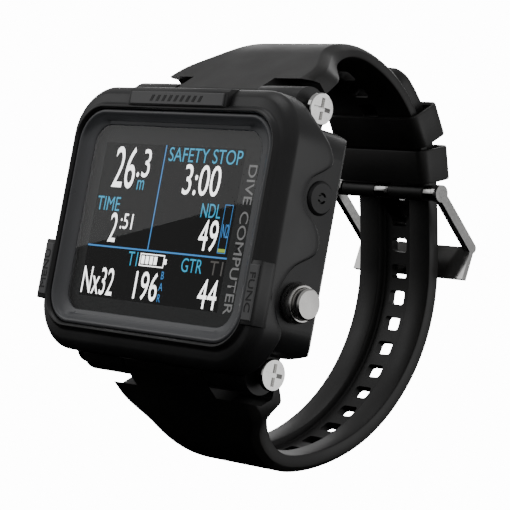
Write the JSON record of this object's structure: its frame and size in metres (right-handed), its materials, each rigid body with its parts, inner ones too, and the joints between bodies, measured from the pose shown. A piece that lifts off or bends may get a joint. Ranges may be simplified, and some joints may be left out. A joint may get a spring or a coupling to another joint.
{
  "type": "dive computer",
  "caption": "Wrist dive computer with a rectangular display, side push buttons, a depth sensor port and a rubber strap closed by a tang buckle.",
  "frame": {"origin": "centre of the flat back face of the case, where it lies on the wrist or a charging pad", "axes": "+Y out of the case back towards the wrist, so the display faces -Y; +Z towards the 12 o'clock strap; +X towards the FUNC button"},
  "size_m": [0.0752, 0.0803, 0.0928],
  "materials": {
    "case_black": "fine satin",
    "bumper_black": "satin, softly rounded",
    "bezel_grey": "satin",
    "label_grey": "fine satin",
    "glass_clear": "polished",
    "seal_rubber": "smooth",
    "display_black": "gloss",
    "tray_plastic": "moulded",
    "board_green": "solder mask",
    "chip_black": "moulded",
    "flex_amber": "polyimide film",
    "steel_satin": "satin",
    "steel_polished": "polished",
    "battery_foil": "foil pouch",
    "foam_grey": "foam",
    "ferrite_dark": "sintered",
    "copper_wire": "enamelled",
    "strap_rubber": "satin moulded"
  },
  "bodies": {
    "case": {"rear_case": "case_black", "back_cover": "case_black", "back_cover_screws": "steel_satin", "back_gasket": "seal_rubber", "front_bumper": "bumper_black", "top_label_tab": "label_grey", "menu_label_tab": "label_grey", "function_label_tab": "label_grey", "bezel_ring": "bezel_grey", "display_glass": "glass_clear", "glass_gasket": "seal_rubber", "display_panel": "display_black", "display_tray": "tray_plastic", "main_board": "board_green", "board_components": "chip_black", "board_screws": "steel_satin", "display_flex": "flex_amber", "battery": "battery_foil", "battery_pad": "foam_grey", "ferrite_sheet": "ferrite_dark", "charging_coil": "copper_wire", "antenna_rod": "ferrite_dark", "antenna_winding": "copper_wire", "vibration_motor": "steel_satin", "function_button_collar": "steel_satin", "menu_button_collar": "steel_satin", "function_button_seal": "seal_rubber", "menu_button_seal": "seal_rubber", "function_button_spring": "steel_satin", "menu_button_spring": "steel_satin", "function_button_switch": "chip_black", "menu_button_switch": "chip_black", "sensor_port_cap": "case_black", "depth_sensor": "steel_satin", "sensor_seal": "seal_rubber", "upper_strap_pin": "steel_satin", "lower_strap_pin": "steel_satin", "strap_screws": "steel_polished", "buckle_strap": "strap_rubber", "hole_strap": "strap_rubber", "fixed_keeper": "strap_rubber"},
    "menu_push": {"menu_button": "steel_satin", "menu_button_clip": "steel_satin"},
    "function_push": {"function_button": "steel_satin", "function_button_clip": "steel_satin"},
    "loose_keeper": {"sliding_keeper": "strap_rubber"},
    "buckle": {"buckle_frame": "steel_polished", "buckle_pin": "steel_polished"},
    "prong": {"buckle_prong": "steel_polished"},
    "motor_rotor": {"motor_weight": "steel_satin"}
  },
  "joints": [
    {"name": "menu_button_press", "type": "slide", "parent": "case", "child": "menu_push", "axis": [1, 0, 0], "range_m": [0, 0.001], "stiffness_N_per_m": 450, "springref_m": -0.0006, "deforming": ["menu_button_spring"]},
    {"name": "function_button_press", "type": "slide", "parent": "case", "child": "function_push", "axis": [-1, 0, 0], "range_m": [0, 0.001], "stiffness_N_per_m": 450, "springref_m": -0.0006, "deforming": ["function_button_spring"]},
    {"name": "keeper_slide", "type": "hinge", "parent": "case", "child": "loose_keeper", "pos_m": [0, 0.01286, 0.0143], "axis": [1, 0, 0], "range_deg": [0, 11]},
    {"name": "buckle_swing", "type": "hinge", "parent": "case", "child": "buckle", "pos_m": [0, 0.0429, 0.0199], "axis": [1, 0, 0], "range_deg": [0, 75]},
    {"name": "prong_tilt", "type": "hinge", "parent": "case", "child": "prong", "pos_m": [0, 0.0429, 0.0199], "axis": [1, 0, 0], "range_deg": [-3, 3]},
    {"name": "motor_spin", "type": "hinge", "parent": "case", "child": "motor_rotor", "pos_m": [0.0204, -0.0084, 0.002], "axis": [0, 0, 1], "continuous": true}
  ]
}
